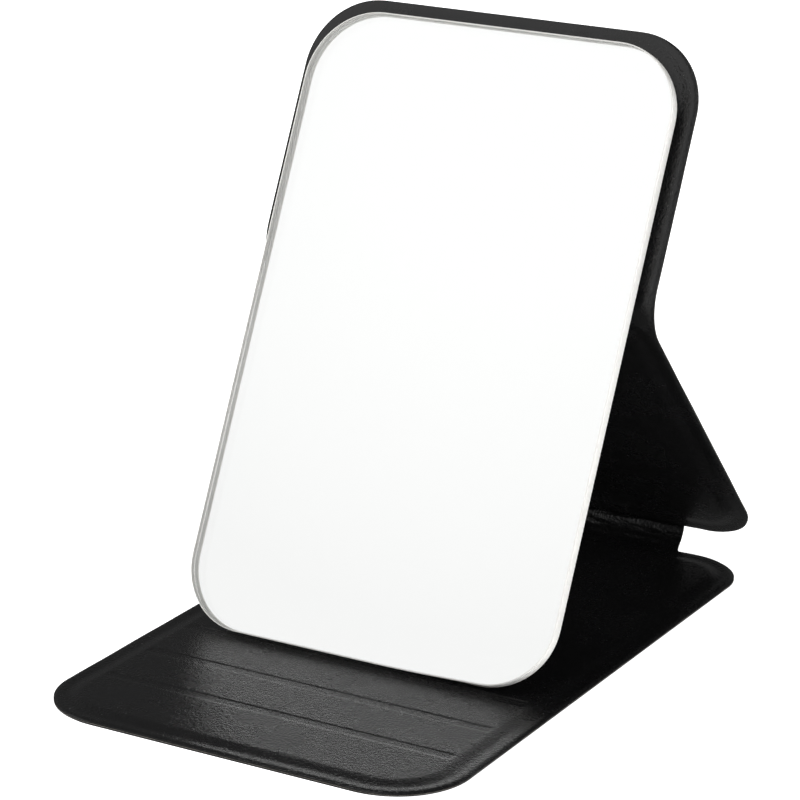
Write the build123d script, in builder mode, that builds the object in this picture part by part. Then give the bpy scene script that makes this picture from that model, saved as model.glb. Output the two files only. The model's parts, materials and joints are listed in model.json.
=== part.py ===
"""Folding countertop mirror: a book-style case of four leatherette panels joined by soft creases,
with a frameless mirror bonded to the top panel and its foot resting in a groove of the base.

Millimetres.  X is the width, Y runs to the back, Z is up.  The origin is the centre of the
base's underside.  Every panel is drawn on its own plane: local X is the width, local Y runs
along the case from the base to the top edge, and local Z points to the lining side.
"""

import os
from math import atan2, cos, degrees, hypot, radians, sin, tan

from build123d import *

os.makedirs("parts", exist_ok=True)

# ---- layers of the case, from the outer cover to the lining ----
skin = 0.35  # cover leatherette, and lining leatherette
cloth = 0.15  # glued cloth between the two skins, seen as a light line at the cut edge
flange = 2 * skin + cloth  # thickness outside the board
half = flange / 2
board_rise = 0.70  # how far the lining over the board stands above the flange
land = half + board_rise  # lining surface over the board, from the mid-plane
board_low = -cloth / 2
board_top = land - skin
board_inset = 6.4  # panel edge to board edge
slope_outer = 4.0  # the lining starts to climb here, from the panel edge
slope_inner = 6.7  # and is level again here
slope_angle = 75.5  # taper of that climb, from the panel's normal

# ---- panels ----
base_width, base_length = 110.0, 170.0
base_front_radius, base_back_radius = 18.6, 15.4
case_width = 109.0  # prop and top panel
prop_radius = 15.0
top_length = 69.45  # middle crease to the top edge
top_radius = 18.6

# ---- side view: crease positions and directions of the panels ----
base_back = base_length / 2
spine_crease = (base_back + 0.5, half)  # (Y, Z) of the crease between base and spine web
prop_crease = (91.688, 6.513)  # between spine web and prop
middle_crease = (20.108, 84.574)  # between prop and top panel
web_run = (prop_crease[0] - spine_crease[0], prop_crease[1] - spine_crease[1])
prop_run = (middle_crease[0] - prop_crease[0], middle_crease[1] - prop_crease[1])
web_length, spine_angle = hypot(*web_run), degrees(atan2(web_run[1], web_run[0]))
prop_length, prop_angle = hypot(*prop_run), degrees(atan2(prop_run[1], prop_run[0]))
base_angle, top_angle = 0.0, 64.13
spine_gap, prop_gap, middle_gap = 0.5, 0.9, 0.9  # from a crease to each rigid edge

# ---- spine web ----
web_width = 64.4
web_flare = 1.9  # fillet where the narrow web widens into the panels

# ---- pressed rests for the mirror's foot ----
groove_rear, groove_pitch, groove_count = -25.6, 17.45, 3
groove_width, groove_floor, groove_depth = 3.9, 3.2, 0.25
groove_length = 95.2

# ---- mirror ----
glass_width, glass_height, glass_thick = 102.0, 158.7, 3.0
glass_radius = 17.8
glass_arris = 0.35
top_margin = 4.14  # panel edge showing above the glass
glass_front = half + 5.14  # from the panel's mid-plane
glass_back = glass_front - glass_thick
silver, paint, film = 0.05, 0.10, 0.25
coat_inset = 0.5  # the coatings stop just inside the glass edge
tape_width, tape_low, tape_high, tape_radius = 92.0, 10.0, 60.5, 3.0


def panel_plane(crease, angle):
    """Plane on a panel's mid-surface, starting at a crease seen from the side."""
    slant = radians(angle)
    return Plane(origin=(0, crease[0], crease[1]), x_dir=(1, 0, 0), z_dir=(0, -sin(slant), cos(slant)))


base_plane = Plane.XY.offset(half)
spine_plane = panel_plane(spine_crease, spine_angle)
prop_plane = panel_plane(prop_crease, prop_angle)
top_plane = panel_plane(middle_crease, top_angle)


def outline(width, low, high, low_radius, high_radius, inset=0.0):
    """Rectangle from low to high along the case, with its own radius at each end."""
    with Locations((0, (low + high) / 2)):
        Rectangle(width - 2 * inset, high - low - 2 * inset)
    if low_radius > 0:
        fillet(vertices().group_by(Axis.Y)[0], radius=max(low_radius - inset, 1.5))
    if high_radius > 0:
        fillet(vertices().group_by(Axis.Y)[-1], radius=max(high_radius - inset, 1.5))


def save(builder, name):
    builder.part.label = name
    export_step(builder.part, f"parts/{name}.step")


def flat_layer(plane, shape, low, high):
    """Full-outline layer between two heights."""
    with BuildPart() as layer:
        with BuildSketch(plane.offset(low)):
            outline(*shape)
        extrude(amount=high - low)
    return layer


def groove_cut(plane, depth_from):
    """Sloped rests across the panel, pressed down from the given height."""
    for rest in range(groove_count):
        middle = groove_rear - groove_pitch * rest
        with BuildSketch(plane.offset(depth_from + 0.01)) as mouth:
            with Locations((0, middle)):
                Rectangle(groove_length, groove_width)
        with BuildSketch(plane.offset(depth_from - groove_depth)) as floor:
            with Locations((0, middle)):
                Rectangle(groove_length - (groove_width - groove_floor), groove_floor)
        loft(sections=[mouth.sketch, floor.sketch], mode=Mode.SUBTRACT)


def panel(prefix, plane, shape, grooved=False):
    """The four layers of a stiff panel: cover, cloth round the rim, board and lining."""
    cover = flat_layer(plane, shape, -half, -cloth / 2)
    save(cover, f"{prefix}_cover_skin")

    with BuildPart() as board:
        with BuildSketch(plane.offset(board_low)):
            outline(*shape, inset=board_inset)
        extrude(amount=board_top - board_low)
        if grooved:
            groove_cut(plane, board_top)
    save(board, f"{prefix}_core_board")

    with BuildPart() as rim:
        with BuildSketch(plane.offset(-cloth / 2)):
            outline(*shape)
        extrude(amount=cloth)
        add(board.part, mode=Mode.SUBTRACT)
    save(rim, f"{prefix}_rim_cloth")

    with BuildPart() as lining:
        with BuildSketch(plane.offset(cloth / 2)):
            outline(*shape)
        extrude(amount=skin)
        with BuildSketch(plane.offset(half)):
            outline(*shape, inset=slope_outer)
        extrude(amount=board_rise, taper=slope_angle)
        if grooved:
            groove_cut(plane, land)
        add(board.part, mode=Mode.SUBTRACT)
    save(lining, f"{prefix}_lining_skin")


def crease_strip(name, crease, gap, from_angle, turn, inner, outer, width):
    """Bent strip of skin across a crease, tangent to the panels on both sides."""
    mid_radius = gap / tan(radians(abs(turn) / 2))
    side = 1 if turn > 0 else -1
    start = radians(from_angle)
    # the bend's centre lies square to the first panel's edge
    edge = (crease[0] - gap * cos(start), crease[1] - gap * sin(start))
    centre = (edge[0] - side * mid_radius * sin(start), edge[1] + side * mid_radius * cos(start))
    first = from_angle - 90 * side
    with BuildPart() as strip:
        with BuildSketch(Plane.YZ):
            with BuildLine():
                near = CenterArc(centre, mid_radius + inner, first, turn)
                far = CenterArc(centre, mid_radius + outer, first, turn)
                Line(near @ 0, far @ 0)
                Line(near @ 1, far @ 1)
            make_face()
        extrude(amount=width / 2, both=True)
    save(strip, name)


# ---- base, prop and top panel ----
panel("base", base_plane, (base_width, -base_back, base_back, base_front_radius, base_back_radius), True)
panel("prop", prop_plane, (case_width, prop_gap, prop_length - middle_gap, prop_radius, 0))
panel("top", top_plane, (case_width, middle_gap, top_length, 0, top_radius))


# ---- spine web: narrow, no board, flared into the panels at both ends ----
def web_layer(low, high):
    near, far = spine_gap, web_length - prop_gap
    with BuildPart() as web:
        with BuildSketch(spine_plane.offset(low)):
            with Locations((0, (near + far) / 2)):
                Rectangle(web_width + 2 * web_flare, far - near)
            for side in (-1, 1):
                x = side * (web_width / 2 + web_flare)
                with Locations((x, (near + far) / 2)):
                    SlotOverall(far - near, 2 * web_flare, rotation=90, mode=Mode.SUBTRACT)
        extrude(amount=high - low)
    return web


save(web_layer(-half, -cloth / 2), "spine_cover_skin")
save(web_layer(-cloth / 2, cloth / 2), "spine_cloth")
save(web_layer(cloth / 2, half), "spine_lining_skin")

# ---- creases: the cover is outside the bend at the spine, and inside it at the middle ----
web_end = web_width + 2 * web_flare
spine_turn = spine_angle - base_angle
prop_turn = prop_angle - spine_angle
middle_turn = top_angle - prop_angle
crease_strip("crease_spine_cover", spine_crease, spine_gap, base_angle, spine_turn, 0, half, web_end)
crease_strip("crease_spine_lining", spine_crease, spine_gap, base_angle, spine_turn, -half, 0, web_end)
crease_strip("crease_prop_cover", prop_crease, prop_gap, spine_angle, prop_turn, 0, half, web_end)
crease_strip("crease_prop_lining", prop_crease, prop_gap, spine_angle, prop_turn, -half, 0, web_end)
crease_strip("crease_middle_cover", middle_crease, middle_gap, prop_angle, middle_turn, -half, 0, case_width)
crease_strip("crease_middle_lining", middle_crease, middle_gap, prop_angle, middle_turn, 0, half, case_width)

# ---- mirror, from the top panel's lining outwards ----
glass_high = top_length - top_margin
glass_low = glass_high - glass_height
glass_shape = (glass_width, glass_low, glass_high, glass_radius, glass_radius)

with BuildPart() as tape:
    with BuildSketch(top_plane.offset(land)):
        outline(tape_width, tape_low, tape_high, tape_radius, tape_radius)
    extrude(amount=glass_back - silver - paint - film - land)
save(tape, "mirror_tape")


def coat(name, low, thickness):
    with BuildPart() as layer:
        with BuildSketch(top_plane.offset(low)):
            outline(*glass_shape, inset=coat_inset)
        extrude(amount=thickness)
    save(layer, name)


coat("mirror_safety_film", glass_back - silver - paint - film, film)
coat("mirror_back_paint", glass_back - silver - paint, paint)
coat("mirror_silver", glass_back - silver, silver)

with BuildPart() as glass:
    with BuildSketch(top_plane.offset(glass_back)):
        outline(*glass_shape)
    extrude(amount=glass_thick)
    faces_across = glass.faces().filter_by(top_plane)
    chamfer(faces_across.edges(), length=glass_arris)
save(glass, "mirror_glass")
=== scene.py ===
"""Looks of the folding countertop mirror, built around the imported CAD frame.

The leatherette case is modelled flat, as one long strip from the front edge of the base to the top
edge of the case: X is the width, s the distance along the strip, and h the height above the middle
of its thickness.  A side path then bends the strip to its standing shape.  All in metres, row frame.
"""

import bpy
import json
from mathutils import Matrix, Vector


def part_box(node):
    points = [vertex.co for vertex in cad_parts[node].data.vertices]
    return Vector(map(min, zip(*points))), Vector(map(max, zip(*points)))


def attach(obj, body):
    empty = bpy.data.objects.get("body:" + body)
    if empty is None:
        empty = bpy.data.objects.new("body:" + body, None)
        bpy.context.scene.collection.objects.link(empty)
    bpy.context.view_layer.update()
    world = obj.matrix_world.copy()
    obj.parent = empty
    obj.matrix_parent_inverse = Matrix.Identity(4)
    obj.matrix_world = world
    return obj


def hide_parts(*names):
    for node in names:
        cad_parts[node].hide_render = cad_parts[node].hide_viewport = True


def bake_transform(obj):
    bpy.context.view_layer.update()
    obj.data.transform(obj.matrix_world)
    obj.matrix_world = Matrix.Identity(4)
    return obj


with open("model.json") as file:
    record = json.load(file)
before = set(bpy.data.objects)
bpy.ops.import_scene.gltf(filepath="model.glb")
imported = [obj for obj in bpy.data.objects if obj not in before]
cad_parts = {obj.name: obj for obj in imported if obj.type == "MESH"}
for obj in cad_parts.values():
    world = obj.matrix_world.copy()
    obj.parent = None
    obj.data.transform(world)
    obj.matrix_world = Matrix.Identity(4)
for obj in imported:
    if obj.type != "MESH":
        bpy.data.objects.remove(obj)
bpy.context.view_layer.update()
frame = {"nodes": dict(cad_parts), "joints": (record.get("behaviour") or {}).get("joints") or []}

import json
from math import atan2, cos, pi, radians, sin, tan

import bpy
import numpy as np
from mathutils import Matrix, Vector, noise

MM = 0.001

# ---------------------------------------------------------------- sizes
SKIN = 0.35 * MM
CLOTH = 0.15 * MM
HALF = SKIN + CLOTH / 2  # half the flange thickness
BOARD_RISE = 0.70 * MM
LAND = HALF + BOARD_RISE  # lining over the board, above the mid-surface
LINING_DROP = 0.2 * MM  # rounding of the lining's cut edge
SLOPE_OUTER, SLOPE_INNER = 3.2 * MM, 7.2 * MM  # the lining climbs between these insets
FRONT_TUCK, FRONT_FADE = 0.6 * MM, 30 * MM  # the board comes closer to the edge along the front
CROWN_INSET, CROWN_RISE = 1.05 * MM, 0.21 * MM
CROWN_OUTER, CROWN_INNER = 0.7 * MM, 1.7 * MM  # its two flanks
COVER_RISE = 0.18 * MM  # the cover shows the board a little on the standing panels
COVER_OUTER, COVER_INNER = 4.6 * MM, 7.2 * MM
COVER_FADE = 8 * MM  # the base's cover stays flat, and the prop's takes over this far above the web
CUT_DROP, CUT_WIDTH = 0.15 * MM, 1.0 * MM  # soft fall of a skin towards its cut edge
BOARD_INSET = 6.4 * MM
BASE_STRETCH = 1.3 * MM  # the skins run a little past the nominal back edge of the base

joint = {j["name"]: j for j in frame["joints"]}
prop_crease = Vector(joint["prop_fold"]["pos_m"][1:])
middle_crease = Vector(joint["mirror_fold"]["pos_m"][1:])

base_low, base_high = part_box("base_cover_skin")
base_front, base_back = base_low[1], base_high[1] + BASE_STRETCH
base_half_width = base_high[0]
BASE_FRONT_RADIUS, BASE_BACK_RADIUS = 18.6 * MM, 15.4 * MM
case_half_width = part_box("top_cover_skin")[1][0]
PROP_RADIUS, TOP_RADIUS = 15.0 * MM, 18.6 * MM
TOP_ANGLE = radians(64.13)  # lean of the mirror, from the counter
PROP_ANGLE = atan2(middle_crease[1] - prop_crease[1], middle_crease[0] - prop_crease[0])
TOP_LENGTH = 69.45 * MM
WEB_HALF_WIDTH = 31.8 * MM
WEB_SPREAD = 0.5 * MM  # the web is a little wider at the base
WEB_RISE, WEB_TUCK = 1.7 * MM, 3.0 * MM  # curve handles of the web, at the base and at the prop
BASE_FLARE, BASE_REACH = 1.9 * MM, 3.0 * MM  # soft corner where the web leaves the base
PROP_FLARE, PROP_REACH = 1.3 * MM, 1.6 * MM  # and where it joins the prop
PROP_TRIM, TOP_TRIM = -0.2 * MM, 0.2 * MM  # hand-trimmed sides, off the nominal half-width
TRIM_BLEND = 14 * MM  # the prop's side runs into the top panel's over this distance each way
MIDDLE_BEND = 8.8 * MM  # straight edge to crease, replaced by an arc

# ---------------------------------------------------------------- side path of the case


def along(angle, distance):
    return Vector((cos(angle), sin(angle))) * distance


def bezier(points, t):
    a, b, c, d = points
    u = 1 - t
    return a * u**3 + b * 3 * u * u * t + c * 3 * u * t * t + d * t**3


def side_path():
    """Dense list of (Y, Z) along the mid-surface, and the s value where each part starts."""
    start = Vector((base_front, HALF))
    back = Vector((base_back, HALF))
    web = [back, back + along(0, WEB_RISE), prop_crease - along(PROP_ANGLE, WEB_TUCK), prop_crease]
    turn = PROP_ANGLE - TOP_ANGLE
    bend_radius = MIDDLE_BEND / tan(turn / 2)
    bend_start = middle_crease - along(PROP_ANGLE, MIDDLE_BEND)
    centre = bend_start + along(PROP_ANGLE - pi / 2, bend_radius)
    points = [start, back]
    marks = {"base": 0}
    marks["web"] = len(points) - 1
    points += [bezier(web, t) for t in np.linspace(0, 1, 61)[1:]]
    marks["prop"] = len(points) - 1
    points.append(bend_start)
    marks["bend"] = len(points) - 1
    arc = [PROP_ANGLE + pi / 2 - turn * t for t in np.linspace(0, 1, 25)[1:]]
    points += [centre + along(angle, bend_radius) for angle in arc]
    marks["top"] = len(points) - 1
    points.append(middle_crease + along(TOP_ANGLE, TOP_LENGTH))
    points = np.array([tuple(p) for p in points])
    s = np.concatenate([[0], np.cumsum(np.linalg.norm(np.diff(points, axis=0), axis=1))])
    marks = {name: s[index] for name, index in marks.items()}
    return points, s, marks


PATH, PATH_S, MARK = side_path()
PATH_TANGENT = np.gradient(PATH, PATH_S, axis=0)
for first, last in (("base", "web"), ("prop", "bend")):
    inside = (PATH_S >= MARK[first] - 1e-9) & (PATH_S <= MARK[last] + 1e-9)
    angle = 0.0 if first == "base" else PROP_ANGLE
    PATH_TANGENT[inside] = (cos(angle), sin(angle))
PATH_TANGENT[PATH_S >= MARK["top"] - 1e-9] = (cos(TOP_ANGLE), sin(TOP_ANGLE))
PATH_TANGENT /= np.linalg.norm(PATH_TANGENT, axis=1)[:, None]
STRIP_END = PATH_S[-1]
MIDDLE_S = (MARK["bend"] + MARK["top"]) / 2


def bend_strip(x, s, h):
    """Strip coordinates to the row frame."""
    y = np.interp(s, PATH_S, PATH[:, 0])
    z = np.interp(s, PATH_S, PATH[:, 1])
    ty = np.interp(s, PATH_S, PATH_TANGENT[:, 0])
    tz = np.interp(s, PATH_S, PATH_TANGENT[:, 1])
    size = np.hypot(ty, tz)
    return np.stack([x, y - h * tz / size, z + h * ty / size], axis=-1)


# ---------------------------------------------------------------- outline and relief of the strip


def smooth(low, high, value):
    t = np.clip((value - low) / (high - low), 0, 1)
    return t * t * (3 - 2 * t)


def inset(x, s, low, high, half_width, low_radius, high_radius):
    """Distance inwards from the edge of a rounded panel."""
    radius = np.where(s < (low + high) / 2, low_radius, high_radius)
    qx = np.abs(x) - (half_width - radius)
    qy = np.abs(s - (low + high) / 2) - ((high - low) / 2 - radius)
    outside = np.hypot(np.maximum(qx, 0), np.maximum(qy, 0))
    return radius - outside - np.minimum(np.maximum(qx, qy), 0)


SQUARE_END = 8.0 * MM  # radius of the board's outline beside the middle crease
PANELS = {
    "base": (0.0, MARK["web"], base_half_width, BASE_FRONT_RADIUS, BASE_BACK_RADIUS),
    "prop": (MARK["prop"], MIDDLE_S, case_half_width, PROP_RADIUS, SQUARE_END),
    "top": (MIDDLE_S, STRIP_END, case_half_width, SQUARE_END, TOP_RADIUS),
}


def board_share(x, s, outer=SLOPE_OUTER, inner=SLOPE_INNER):
    """0 on the thin flange and the web, 1 over a board."""
    share = np.zeros_like(x)
    for low, high, half_width, low_radius, high_radius in PANELS.values():
        inside = (s > low) & (s < high)
        depth = inset(x, s, low, high, half_width, low_radius, high_radius)
        front = FRONT_TUCK * (1 - smooth(0, FRONT_FADE, s))
        share = np.where(inside, smooth(outer - front, inner - front, depth), share)
    return share


def rim_crown(x, s):
    """Low rounded bead pressed along the flange, just inside the cut edge."""
    height = np.zeros_like(x)
    for low, high, half_width, low_radius, high_radius in PANELS.values():
        inside = (s > low) & (s < high)
        depth = inset(x, s, low, high, half_width, low_radius, high_radius)
        flank = np.where(depth < CROWN_INSET, CROWN_OUTER, CROWN_INNER)
        height = np.where(inside, np.exp(-(((depth - CROWN_INSET) / flank) ** 2)), height)
    return height * CROWN_RISE


REAR_GROOVE, GROOVE_PITCH, GROOVE_COUNT = -25.6 * MM, 17.45 * MM, 3  # Y of the rear one, and the step forward
GROOVE_S = [REAR_GROOVE - GROOVE_PITCH * rest - base_front for rest in range(GROOVE_COUNT)]
GROOVE_HALF, GROOVE_DEPTH = 1.9 * MM, 0.16 * MM
GROOVE_RAMP, GROOVE_WALL = 1.4 * MM, 0.45 * MM  # easy front side, steep back side
GROOVE_END, GROOVE_FADE = 47.9 * MM, 1.2 * MM


def grooves(x, s):
    depth = np.zeros_like(x)
    for middle in GROOVE_S:
        across = smooth(-GROOVE_HALF, -GROOVE_HALF + GROOVE_RAMP, s - middle)
        across *= 1 - smooth(GROOVE_HALF - GROOVE_WALL, GROOVE_HALF, s - middle)
        depth += across * (1 - smooth(GROOVE_END - GROOVE_FADE, GROOVE_END, np.abs(x)))
    return depth * GROOVE_DEPTH


def wave(x, s, size, seed):
    """Slow random height, -1 to 1."""
    flat = [noise.noise(Vector((a / size, b / size, seed))) for a, b in zip(x.ravel(), s.ravel())]
    return np.array(flat).reshape(x.shape)


def web_share(s):
    return smooth(MARK["web"] - 0.5 * MM, MARK["web"] + 1.5 * MM, s) * (
        1 - smooth(MARK["prop"] - 1.0 * MM, MARK["prop"] + 1.0 * MM, s)
    )


FOLD_HEIGHT, FOLD_SIZE, FOLD_STRETCH = 0.36 * MM, 1.4 * MM, 0.28


def crinkle(x, s):
    """Irregular shallow creases of the soft web, running across the case."""
    drift = 0.8 * MM * wave(x, s * 0, 15 * MM, 3.0)
    folds = wave(x * FOLD_STRETCH, s + drift, FOLD_SIZE, 5.0)
    strength = 0.55 + 0.45 * wave(x, s, 11 * MM, 7.0)
    return FOLD_HEIGHT * folds * strength * web_share(s)


def ripple(x, s, seed):
    """Unevenness of hand-glued skins, stronger on the loose flange."""
    loose = 1 - board_share(x, s)
    return (0.035 + 0.05 * loose) * MM * wave(x, s, 14 * MM, seed) + 0.012 * MM * wave(x, s, 4 * MM, seed)


# ---------------------------------------------------------------- strip meshes


def half_width_at(s):
    """Half the case's width at s, for its panels and its web."""
    if s <= MARK["web"] + 1e-9:
        low, high, width, low_radius, high_radius = PANELS["base"]
    elif s < MARK["prop"] - 1e-9:
        low_end = s - MARK["web"] < MARK["prop"] - s
        flare, reach = (BASE_FLARE, BASE_REACH) if low_end else (PROP_FLARE, PROP_REACH)
        near = s - MARK["web"] if low_end else MARK["prop"] - s
        dip = max(1 - near / reach, 0.0)
        spread = WEB_SPREAD * (MARK["prop"] - s) / (MARK["prop"] - MARK["web"])
        return WEB_HALF_WIDTH + spread + flare * (1 - (1 - dip**2) ** 0.5)
    else:
        low, high, width, low_radius, high_radius = (
            MARK["prop"], STRIP_END, case_half_width, PROP_RADIUS, TOP_RADIUS,
        )
        width += PROP_TRIM + (TOP_TRIM - PROP_TRIM) * smooth(MIDDLE_S - TRIM_BLEND, MIDDLE_S + TRIM_BLEND, s)
    for end, radius in ((s - low, low_radius), (high - s, high_radius)):
        if end < radius:
            return width - radius + max(radius**2 - (radius - end) ** 2, 0.0) ** 0.5
    return width


WIDE_STEP = 2.0 * MM  # row spacing where the strip is flat


def steps(low, high, size):
    count = max(int(round((high - low) / size)), 1)
    return list(np.linspace(low, high, count + 1)[1:])


def corner_rows(radius, fine=0.55 * MM):
    """Distances from a rounded end, evenly spaced round its arc and then along the side."""
    count = int(radius * pi / 2 / fine / 1.25)
    return [radius * (1 - cos(pi / 2 * k / count)) for k in range(count + 1)]


def rows_between(low, high, keys):
    """Row positions: the given fine stretches, with wider steps in the flat parts between them."""
    rows = [low]
    for start, end, size in keys:
        if start > rows[-1] + 1e-9:
            rows += steps(rows[-1], start, WIDE_STEP)
        rows += steps(rows[-1], end, size)
    if high > rows[-1] + 1e-9:
        rows += steps(rows[-1], high, WIDE_STEP)
    return rows


def columns(shoulder):
    """Fractions of the half-width: fine near the edges, with one column at the shoulder."""
    edge = list(np.linspace(1.0, 0.86, 22)) + list(np.linspace(0.86, 0.62, 20)[1:])
    inner = list(np.linspace(0.62, 0.0, 20)[1:])
    right = sorted(set(np.round(edge + inner, 6)))
    nearest = min(range(len(right)), key=lambda k: abs(right[k] - shoulder))
    right[nearest] = shoulder
    return np.array([-v for v in reversed(right[1:])] + right)


def strip_mesh(name, rows, shoulder, low_height, high_height, keep=None):
    """Closed sheet between two heights over the strip, narrowing at the web."""
    u = columns(shoulder)
    rows = np.array(rows)
    in_web = (rows > MARK["web"] + 1e-9) & (rows < MARK["prop"] - 1e-9)
    widths = np.array([half_width_at(s) for s in rows])
    scale = np.where(in_web, widths / shoulder, widths)
    x = u[None, :] * scale[:, None]
    s = np.repeat(rows[:, None], len(u), axis=1)
    high = bend_strip(x, s, high_height(x, s)).reshape(-1, 3)
    low = bend_strip(x, s, low_height(x, s)).reshape(-1, 3)
    count, across = len(high), len(u)
    cells = []
    for i in range(len(rows) - 1):
        narrow = in_web[i] or in_web[i + 1]
        for j in range(across - 1):
            middle = (u[j] + u[j + 1]) / 2
            if narrow and abs(middle) > shoulder:
                continue
            if keep is not None and not keep(middle * scale[i : i + 2].mean(), rows[i : i + 2].mean()):
                continue
            cells.append((i * across + j, i * across + j + 1, (i + 1) * across + j + 1, (i + 1) * across + j))
    edges = {}
    for a, b, c, d in cells:
        for edge in ((a, b), (b, c), (c, d), (d, a)):
            if (edge[1], edge[0]) in edges:
                del edges[(edge[1], edge[0])]
            else:
                edges[edge] = True
    faces = list(cells)
    faces += [tuple(v + count for v in reversed(cell)) for cell in cells]
    cut = len(faces)
    faces += [(b, a, a + count, b + count) for a, b in edges]
    verts = np.concatenate([high, low])
    used = sorted({v for face in faces for v in face})
    index = {v: k for k, v in enumerate(used)}
    mesh = bpy.data.meshes.new(name)
    mesh.from_pydata(verts[used].tolist(), [], [tuple(index[v] for v in face) for face in faces])
    mesh.polygons.foreach_set("material_index", [int(k >= cut) for k in range(len(faces))])
    mesh.update()
    mesh.shade_smooth()
    mesh.set_sharp_from_angle(angle=radians(50))
    piece = bpy.data.objects.new(name, mesh)
    bpy.context.scene.collection.objects.link(piece)
    return piece


def edge_round(x, s, drop=CUT_DROP):
    """Soft fall of a cut skin towards its very edge."""
    gap = np.abs(np.vectorize(half_width_at)(s) - np.abs(x))
    return drop * (1 - smooth(0, CUT_WIDTH, gap)) ** 1.5


def lining_top(x, s):
    height = HALF + (LAND - HALF) * board_share(x, s) - grooves(x, s)
    return height + rim_crown(x, s) + ripple(x, s, 1.0) + crinkle(x, s) - edge_round(x, s, LINING_DROP)


def lining_under(x, s):
    return lining_top(x, s) - SKIN - rim_crown(x, s) + edge_round(x, s, LINING_DROP)


def cover_out(x, s):
    standing = smooth(MARK["prop"], MARK["prop"] + COVER_FADE, s)
    rise = COVER_RISE * board_share(x, s, COVER_OUTER, COVER_INNER) * standing
    wavy = ripple(x, s, 21.0) * standing
    return -HALF - rise + wavy + crinkle(x, s) + edge_round(x, s)


def cover_under(x, s):
    return cover_out(x, s) + SKIN - edge_round(x, s)


def cloth_top(x, s):
    return np.full_like(x, CLOTH / 2) + crinkle(x, s) + 0.6 * ripple(x, s, 1.0)


def cloth_under(x, s):
    return cloth_top(x, s) - CLOTH


base_shoulder = (WEB_HALF_WIDTH + WEB_SPREAD + BASE_FLARE) / (base_half_width - BASE_BACK_RADIUS)
prop_shoulder = (WEB_HALF_WIDTH + PROP_FLARE) / (case_half_width - PROP_RADIUS)
WEB_LENGTH = MARK["prop"] - MARK["web"]
WEB_SEAM = MARK["web"] + 0.52 * WEB_LENGTH  # the skins are split here, halfway up the web,
PROP_SEAM = MIDDLE_S - 16 * MM  # and here, below the middle bend
GROOVE_STEP, WEB_STEP = 0.14 * MM, 0.2 * MM
CREST_REACH, CREST_STEP = 10.0 * MM, 0.45 * MM  # closer rows this far each way from the middle bend

front_rows = corner_rows(BASE_FRONT_RADIUS)
back_rows = [MARK["web"] - d for d in reversed(corner_rows(BASE_BACK_RADIUS))]
groove_reach = GROOVE_HALF + 0.2 * MM
groove_keys = [(m - groove_reach, m + groove_reach, GROOVE_STEP) for m in reversed(GROOVE_S)]
base_rows = front_rows + rows_between(front_rows[-1], back_rows[0], groove_keys)[1:] + back_rows[1:]
web_rows_low = steps(MARK["web"], WEB_SEAM, WEB_STEP)
web_rows_high = [WEB_SEAM] + steps(WEB_SEAM, MARK["prop"], WEB_STEP)
prop_foot = [MARK["prop"] + d for d in corner_rows(PROP_RADIUS)][1:]
prop_rows = web_rows_high + prop_foot + steps(prop_foot[-1], PROP_SEAM, WIDE_STEP)
crest = [(MIDDLE_S - CREST_REACH, MIDDLE_S + CREST_REACH, CREST_STEP)]
top_end = [STRIP_END - d for d in reversed(corner_rows(TOP_RADIUS))]
top_rows = rows_between(PROP_SEAM, top_end[0], crest) + top_end[1:]

SPANS = {
    "lower": (base_rows + web_rows_low, base_shoulder),
    "prop": (prop_rows, prop_shoulder),
    "top": (top_rows, 1.0),
}


def rim_only(x, s):
    """Keeps the cloth out of the space the boards fill."""
    share = board_share(np.array([x]), np.array([s]), BOARD_INSET - 0.4 * MM, BOARD_INSET)
    return share[0] < 0.999


# ---------------------------------------------------------------- materials


class Nodes:
    """Short hand for a material's node tree."""

    def __init__(self, name):
        self.material = bpy.data.materials.new(name)
        self.material.use_nodes = True
        self.tree = self.material.node_tree
        self.shader = self.tree.nodes["Principled BSDF"]

    def add(self, kind, **settings):
        node = self.tree.nodes.new(kind)
        for key, value in settings.items():
            if key in node.inputs:
                node.inputs[key].default_value = value
            else:
                setattr(node, key, value)
        return node

    def link(self, start, end):
        self.tree.links.new(start, end)

    def set(self, **values):
        for key, value in values.items():
            self.shader.inputs[key.replace("_", " ")].default_value = value

    def coordinates(self):
        return self.add("ShaderNodeTexCoord").outputs["Object"]

    def ramp(self, source, stops):
        node = self.add("ShaderNodeValToRGB")
        ramp = node.color_ramp
        while len(ramp.elements) < len(stops):
            ramp.elements.new(0.5)
        for element, (place, colour) in zip(ramp.elements, stops):
            element.position = place
            element.color = (*colour, 1.0)
        self.link(source, node.inputs["Fac"])
        return node.outputs["Color"]

    def span(self, source, low, high, to_low, to_high):
        node = self.add("ShaderNodeMapRange")
        node.inputs["From Min"].default_value = low
        node.inputs["From Max"].default_value = high
        node.inputs["To Min"].default_value = to_low
        node.inputs["To Max"].default_value = to_high
        self.link(source, node.inputs["Value"])
        return node.outputs["Result"]

    def math(self, operation, first, second):
        node = self.add("ShaderNodeMath", operation=operation)
        for socket, value in zip(node.inputs, (first, second)):
            if hasattr(value, "is_output"):
                self.link(value, socket)
            else:
                socket.default_value = value
        return node.outputs[0]

    def noise(self, size, detail=3.0, rough=0.55):
        node = self.add("ShaderNodeTexNoise", Scale=1 / size, Detail=detail, Roughness=rough)
        self.link(self.coordinates(), node.inputs["Vector"])
        return node.outputs["Fac"]

    def bump(self, height, distance, strength):
        node = self.add("ShaderNodeBump", Strength=strength, Distance=distance)
        self.link(height, node.inputs["Height"])
        return node.outputs["Normal"]


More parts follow.
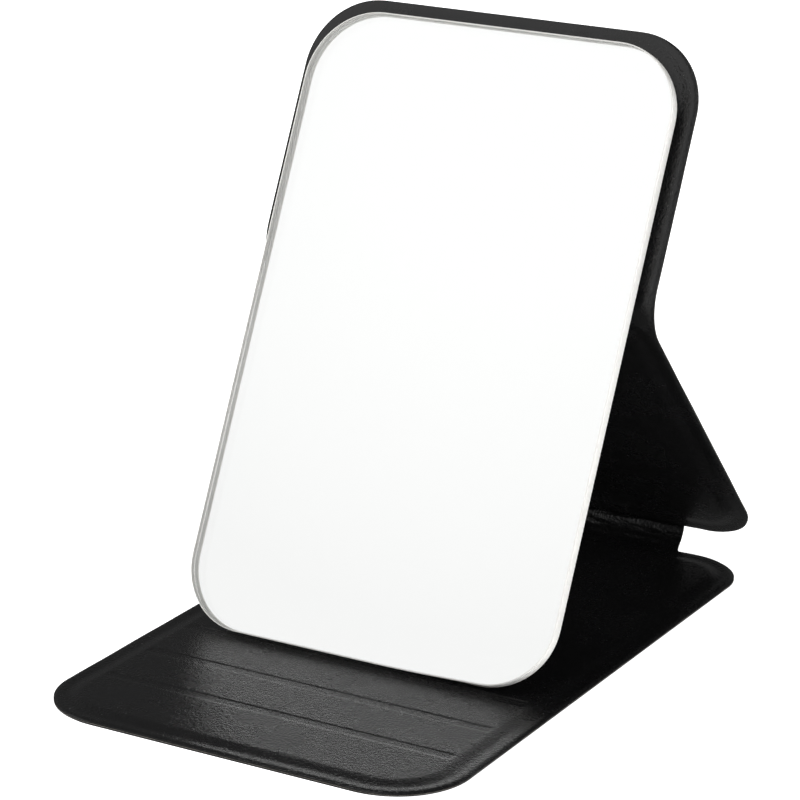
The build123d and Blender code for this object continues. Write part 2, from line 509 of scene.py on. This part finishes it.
def leatherette(name, tint, rough_low, rough_high, grain_size, grain_depth):
    """Fine pebbled PU: soft domes between creases, with slow changes of gloss and colour."""
    m = Nodes(name)
    warp = m.add("ShaderNodeTexNoise", Scale=1 / (1.1 * MM), Detail=2.0)
    m.link(m.coordinates(), warp.inputs["Vector"])
    shift = m.add("ShaderNodeVectorMath", operation="MULTIPLY_ADD")
    m.link(warp.outputs["Color"], shift.inputs[0])
    shift.inputs[1].default_value = (0.35 * MM,) * 3
    m.link(m.coordinates(), shift.inputs[2])
    cells = m.add("ShaderNodeTexVoronoi", Scale=1 / grain_size)
    cells.feature = "SMOOTH_F1"
    cells.inputs["Smoothness"].default_value = 0.5
    m.link(shift.outputs["Vector"], cells.inputs["Vector"])
    domes = m.span(cells.outputs["Distance"], 0.15, 0.75, 1.0, 0.0)
    fine = m.noise(0.16 * MM, detail=2.0)
    slow = m.noise(19 * MM, detail=4.0, rough=0.6)
    uneven = m.noise(3.2 * MM, detail=3.0)
    height = m.math("ADD", domes, m.math("MULTIPLY", fine, 0.1))
    normal = m.bump(height, grain_depth, 1.0)
    m.link(normal, m.shader.inputs["Normal"])
    gloss = m.math("ADD", m.math("MULTIPLY", slow, 0.7), m.math("MULTIPLY", uneven, 0.3))
    m.link(m.span(gloss, 0.35, 0.65, rough_low, rough_high), m.shader.inputs["Roughness"])
    dark = tuple(c * 0.72 for c in tint)
    light = tuple(c * 1.3 for c in tint)
    mixed = m.math("ADD", m.math("MULTIPLY", domes, 0.5), m.math("MULTIPLY", slow, 0.6))
    m.link(m.ramp(mixed, [(0.2, dark), (0.8, light)]), m.shader.inputs["Base Color"])
    m.set(IOR=1.48, Specular_IOR_Level=0.5)
    return m.material


def cloth_material():
    m = Nodes("backing_cloth")
    threads = m.noise(0.35 * MM, detail=2.0)
    patches = m.noise(6 * MM, detail=3.0)
    mixed = m.math("ADD", m.math("MULTIPLY", threads, 0.5), m.math("MULTIPLY", patches, 0.5))
    colours = m.ramp(mixed, [(0.35, (0.03, 0.028, 0.025)), (0.7, (0.20, 0.185, 0.165))])
    m.link(colours, m.shader.inputs["Base Color"])
    m.link(m.bump(threads, 0.05 * MM, 0.8), m.shader.inputs["Normal"])
    m.set(Roughness=0.9)
    return m.material


def board_material():
    m = Nodes("greyboard")
    fibres = m.noise(0.5 * MM, detail=5.0)
    colours = m.ramp(fibres, [(0.3, (0.24, 0.225, 0.2)), (0.75, (0.42, 0.4, 0.36))])
    m.link(colours, m.shader.inputs["Base Color"])
    m.link(m.bump(fibres, 0.06 * MM, 0.6), m.shader.inputs["Normal"])
    m.set(Roughness=0.92)
    return m.material


def sheet_material(name, low, high, size, roughness):
    m = Nodes(name)
    pattern = m.noise(size, detail=3.0)
    m.link(m.ramp(pattern, [(0.3, low), (0.7, high)]), m.shader.inputs["Base Color"])
    m.link(m.bump(pattern, 0.03 * MM, 0.5), m.shader.inputs["Normal"])
    m.set(Roughness=roughness)
    return m.material


def clear_glass():
    m = Nodes("clear_glass")
    m.set(Base_Color=(0.99, 0.993, 0.99, 1.0), Roughness=0.0, IOR=1.52, Transmission_Weight=1.0)
    return m.material


def ground_glass():
    """Seamed and ground edge of the plate: pale, warm and a little translucent."""
    m = Nodes("ground_glass_edge")
    speckle = m.noise(0.3 * MM, detail=3.0)
    colours = m.ramp(speckle, [(0.25, (0.93, 0.915, 0.875)), (0.75, (0.97, 0.96, 0.93))])
    m.link(colours, m.shader.inputs["Base Color"])
    m.link(m.bump(speckle, 0.02 * MM, 0.5), m.shader.inputs["Normal"])
    m.set(Roughness=0.55, IOR=1.52, Transmission_Weight=0.28)
    return m.material


def silver_material():
    m = Nodes("silver_coating")
    m.set(Base_Color=(0.95, 0.955, 0.95, 1.0), Metallic=1.0, Roughness=0.0)
    return m.material


def cut_edge_material():
    """Raw black edge of the pressed skins."""
    m = Nodes("cut_edge")
    grain = m.noise(0.25 * MM, detail=3.0)
    colours = m.ramp(grain, [(0.3, (0.004, 0.004, 0.004)), (0.7, (0.012, 0.012, 0.012))])
    m.link(colours, m.shader.inputs["Base Color"])
    m.link(m.bump(grain, 0.04 * MM, 0.7), m.shader.inputs["Normal"])
    m.set(Roughness=0.8, Specular_IOR_Level=0.25)
    return m.material


COVER = leatherette("cover_leatherette", (0.0045, 0.0045, 0.0047), 0.34, 0.44, 0.58 * MM, 0.07 * MM)
LINING = leatherette("lining_leatherette", (0.0066, 0.0066, 0.0068), 0.23, 0.30, 0.6 * MM, 0.06 * MM)
BACKING = cloth_material()
CUT_EDGE = cut_edge_material()

# ---------------------------------------------------------------- the case

LAYERS = {
    "cover": (cover_out, cover_under, None, COVER, "cover_leatherette"),
    "cloth": (cloth_under, cloth_top, rim_only, BACKING, "backing_cloth"),
    "lining": (lining_under, lining_top, None, LINING, "lining_leatherette"),
}
REPLACED = {
    "lower": {"cover": ["base_cover_skin", "crease_spine_cover"], "cloth": ["base_rim_cloth"],
              "lining": ["base_lining_skin", "crease_spine_lining"]},
    "prop": {"cover": ["prop_cover_skin", "spine_cover_skin", "crease_prop_cover"],
             "cloth": ["prop_rim_cloth", "spine_cloth"],
             "lining": ["prop_lining_skin", "spine_lining_skin", "crease_prop_lining"]},
    "top": {"cover": ["top_cover_skin", "crease_middle_cover"], "cloth": ["top_rim_cloth"],
            "lining": ["top_lining_skin", "crease_middle_lining"]},
}


BASE_BLEND, PROP_BLEND, MIDDLE_BLEND = 1.3 * MM, 1.2 * MM, 7.5 * MM  # how far the bends reach into the panels
# the two bodies each skin joins, and where along the strip its bend starts and ends
BENDS = {
    "lower": ("base", "spine", MARK["web"] - BASE_BLEND, MARK["web"] + 0.50 * WEB_LENGTH),
    "prop": ("spine", "prop", MARK["web"] + 0.54 * WEB_LENGTH, MARK["prop"] + PROP_BLEND),
    "top": ("prop", "mirror_panel", MIDDLE_S - MIDDLE_BLEND, MIDDLE_S + MIDDLE_BLEND),
}

for part, (rows, shoulder) in SPANS.items():
    first, second, start, end = BENDS[part]
    for layer, (low_height, high_height, keep, material, slot_name) in LAYERS.items():
        skin = strip_mesh(f"{part}_{layer}", rows, shoulder, low_height, high_height, keep)
        skin.data.materials.append(material)
        skin.data.materials.append(BACKING if layer == "cloth" else CUT_EDGE)
        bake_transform(skin)
        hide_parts(*REPLACED[part][layer])

# ---------------------------------------------------------------- mirror glass and silver

GLASS_STAND = 5.14 * MM  # front of the glass, above the flange
GLASS_THICK, GLASS_HEIGHT, TOP_MARGIN = 3.0 * MM, 158.7 * MM, 4.14 * MM
# corner radii of the hand-ground plate: top right, top left, bottom left, bottom right
GLASS_RADII = (17.6 * MM, 18.6 * MM, 17.0 * MM, 16.5 * MM)
GLASS_LIFT = 1.1 * MM  # the bottom edge rises a little towards its right corner
LIFT_HEIGHT, LIFT_START = 60 * MM, 0.12  # how far up the rise reaches, and where it starts to the right
glass_front = HALF + GLASS_STAND
glass_high = TOP_LENGTH - TOP_MARGIN
glass_low = glass_high - GLASS_HEIGHT
glass_half_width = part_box("mirror_glass")[1][0]
UP = Vector((0, cos(TOP_ANGLE), sin(TOP_ANGLE)))
OUT = Vector((0, -sin(TOP_ANGLE), cos(TOP_ANGLE)))
RIGHT = Vector((1, 0, 0))
crease_point = Vector((0, *middle_crease))


def panel_point(x, t, h):
    return crease_point + RIGHT * x + UP * t + OUT * h


def rounded_loop(shrink, per_corner=16, per_side=8):
    """Points round the glass, anticlockwise seen from the front."""
    half_width = glass_half_width - shrink
    half_height = (glass_high - glass_low) / 2 - shrink
    middle = (glass_high + glass_low) / 2
    loop = []
    for corner, (sx, sy) in enumerate(((1, 1), (-1, 1), (-1, -1), (1, -1))):
        radius = GLASS_RADII[corner] - shrink
        for k in range(per_corner + 1):
            a = pi / 2 * (corner + k / per_corner)
            across = sx * (half_width - radius) + radius * cos(a)
            loop.append((across, middle + sy * (half_height - radius) + radius * sin(a)))
        if corner == 2:
            first = -half_width + radius
            side = half_width - GLASS_RADII[3] + shrink - first
            loop += [(first + side * k / per_side, middle - half_height) for k in range(1, per_side)]
    lifted = []
    for x, y in loop:
        low = 1 - float(smooth(-half_height, -half_height + LIFT_HEIGHT, y - middle))
        lifted.append((x, y + GLASS_LIFT * low * float(smooth(LIFT_START * half_width, half_width, x))))
    return lifted


def slab(name, profile):
    """Closed slab from rings of (shrink, height), first ring at the front."""
    loops = [rounded_loop(shrink) for shrink, _ in profile]
    count = len(loops[0])
    verts = [panel_point(x, t, h) for loop, (_, h) in zip(loops, profile) for x, t in loop]
    faces = [tuple(range(count))]
    for ring in range(len(profile) - 1):
        for k in range(count):
            a, b = ring * count + k, ring * count + (k + 1) % count
            faces.append((a, a + count, b + count, b))
    faces.append(tuple(reversed(range((len(profile) - 1) * count, len(profile) * count))))
    mesh = bpy.data.meshes.new(name)
    mesh.from_pydata([tuple(v) for v in verts], [], faces)
    mesh.update()
    piece = bpy.data.objects.new(name, mesh)
    bpy.context.scene.collection.objects.link(piece)
    return piece


ARRIS = 0.35 * MM
back = glass_front - GLASS_THICK
glass = slab(
    "mirror_plate",
    [(ARRIS, glass_front), (0.25 * ARRIS, glass_front - 0.35 * ARRIS), (0.0, glass_front - ARRIS),
     (0.0, back + 0.6 * ARRIS), (0.6 * ARRIS, back)],
)
glass.data.materials.append(clear_glass())
glass.data.materials.append(ground_glass())
glass.data.set_sharp_from_angle(angle=radians(25))
for face in glass.data.polygons:
    flat = len(face.vertices) > 4
    face.material_index = 0 if flat else 1
    face.use_smooth = not flat  # the front stays optically flat
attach(glass, "mirror_panel")
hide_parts("mirror_glass")

SILVER_INSET, SILVER_BITE, SILVER_THICK = 0.25 * MM, 0.02 * MM, 0.05 * MM
silver = slab(
    "silver_layer",
    [(SILVER_INSET, back + SILVER_BITE), (SILVER_INSET, back - SILVER_THICK)],
)
silver.data.materials.append(silver_material())
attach(silver, "mirror_panel")
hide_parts("mirror_silver")

# ---------------------------------------------------------------- CAD nodes that stay

# name, two colours, pattern size and roughness
SHEETS = {
    "mirror_tape": ("foam_tape", (0.62, 0.61, 0.58), (0.78, 0.77, 0.74), 0.6 * MM, 0.85),
    "mirror_safety_film": ("safety_film", (0.26, 0.26, 0.265), (0.34, 0.34, 0.345), 3.0 * MM, 0.5),
    "mirror_back_paint": ("back_paint", (0.20, 0.185, 0.17), (0.30, 0.28, 0.26), 2.0 * MM, 0.6),
}
KEPT = {"base_core_board": board_material()}
KEPT.update({node: sheet_material(*look) for node, look in SHEETS.items()})
KEPT["prop_core_board"] = KEPT["top_core_board"] = KEPT["base_core_board"]
for node, material in KEPT.items():
    slots = frame["nodes"][node].material_slots
    for place in slots:
        place.link = "OBJECT"
        place.material = material

# ---------------------------------------------------------------- floor, light and camera

FLOOR_SIZE, FLOOR_BACK, FLOOR_DROP = 12, 2.0, 0.02 * MM
SOFTBOX = (-0.452, -0.717, 0.530)  # direction of its middle
SOFTBOX_EDGE = 0.10  # brightness away from the softbox
# steps of the cosine of the angle from the softbox's middle, each with the brightness it adds
SOFTBOX_FADE = [
    (0.0, 0.45, 0.05), (0.45, 0.72, 0.41), (0.72, 0.83, 0.38), (0.85, 0.94, 0.035), (0.988, 0.9985, 0.09),
]
CAMERA_AZIMUTH, CAMERA_ELEVATION, CAMERA_ROLL = radians(30.065), radians(18.253), radians(0.354)
CAMERA_PLACE, CAMERA_LENS = (0.38808, -0.67396, 0.31810), 152.06
# place, aim, size and power
SIDE_LAMP = ((1.7, -0.35, 1.0), (0, 0, 0.05), 1.0, 12.0)
EDGE_LAMP = ((-1.5, -0.1, 0.5), (0, 0, 0.08), 1.0, 18.0)


def make_floor():
    bpy.ops.mesh.primitive_plane_add(size=FLOOR_SIZE, location=(0, FLOOR_BACK, -FLOOR_DROP))
    floor = bpy.context.object
    floor.name = "floor"
    m = Nodes("floor_white")
    m.set(Base_Color=(0.9, 0.9, 0.9, 1.0), Roughness=0.9, Specular_IOR_Level=0.0)
    m.set(Emission_Color=(1.0, 1.0, 1.0, 1.0), Emission_Strength=1.05)
    floor.data.materials.append(m.material)
    floor.visible_glossy = False


def area_light(name, place, aim, size, power):
    data = bpy.data.lights.new(name, "AREA")
    data.shape = "DISK"
    data.size = size
    data.energy = power
    lamp = bpy.data.objects.new(name, data)
    lamp.location = place
    lamp.rotation_euler = (Vector(aim) - Vector(place)).to_track_quat("-Z", "Y").to_euler()
    bpy.context.scene.collection.objects.link(lamp)
    return lamp


def studio_world():
    """Dim room with one large soft light to the front left, fading with the angle from its middle."""
    world = bpy.data.worlds.new("studio")
    bpy.context.scene.world = world
    world.use_nodes = True
    tree = world.node_tree
    background = tree.nodes["Background"]
    place = tree.nodes.new("ShaderNodeTexCoord")
    facing = tree.nodes.new("ShaderNodeVectorMath")
    facing.operation = "DOT_PRODUCT"
    facing.inputs[1].default_value = SOFTBOX
    tree.links.new(place.outputs["Generated"], facing.inputs[0])
    total = None
    for low, high, gain in SOFTBOX_FADE:
        fade = tree.nodes.new("ShaderNodeMapRange")
        fade.inputs["From Min"].default_value = low
        fade.inputs["From Max"].default_value = high
        fade.inputs["To Min"].default_value = SOFTBOX_EDGE if total is None else 0.0
        fade.inputs["To Max"].default_value = gain + (SOFTBOX_EDGE if total is None else 0.0)
        tree.links.new(facing.outputs["Value"], fade.inputs["Value"])
        if total is None:
            total = fade.outputs["Result"]
            continue
        add = tree.nodes.new("ShaderNodeMath")
        add.operation = "ADD"
        tree.links.new(total, add.inputs[0])
        tree.links.new(fade.outputs["Result"], add.inputs[1])
        total = add.outputs["Value"]
    tree.links.new(total, background.inputs["Strength"])
    background.inputs["Color"].default_value = (1, 1, 1, 1)


def make_camera():
    azimuth, elevation, roll = CAMERA_AZIMUTH, CAMERA_ELEVATION, CAMERA_ROLL
    data = bpy.data.cameras.new("camera")
    data.sensor_width = 36.0
    data.lens = CAMERA_LENS
    data.clip_start = 0.05
    camera = bpy.data.objects.new("camera", data)
    toward = Vector((sin(azimuth) * cos(elevation), -cos(azimuth) * cos(elevation), sin(elevation)))
    right = (-toward).cross(Vector((0, 0, 1))).normalized()
    up = right.cross(-toward)
    across = right * cos(roll) + up * sin(roll)
    upward = up * cos(roll) - right * sin(roll)
    turn = Matrix((across, upward, toward)).transposed().to_4x4()
    camera.matrix_world = Matrix.Translation(CAMERA_PLACE) @ turn
    bpy.context.scene.collection.objects.link(camera)
    bpy.context.scene.camera = camera


make_floor()
studio_world()
area_light("side", *SIDE_LAMP)
fill = area_light("edge_fill", *EDGE_LAMP)
fill.visible_glossy = False  # lights the ground edge and the cloth, and isn't mirrored in the leatherette
make_camera()
bpy.context.scene.view_settings.view_transform = "Standard"
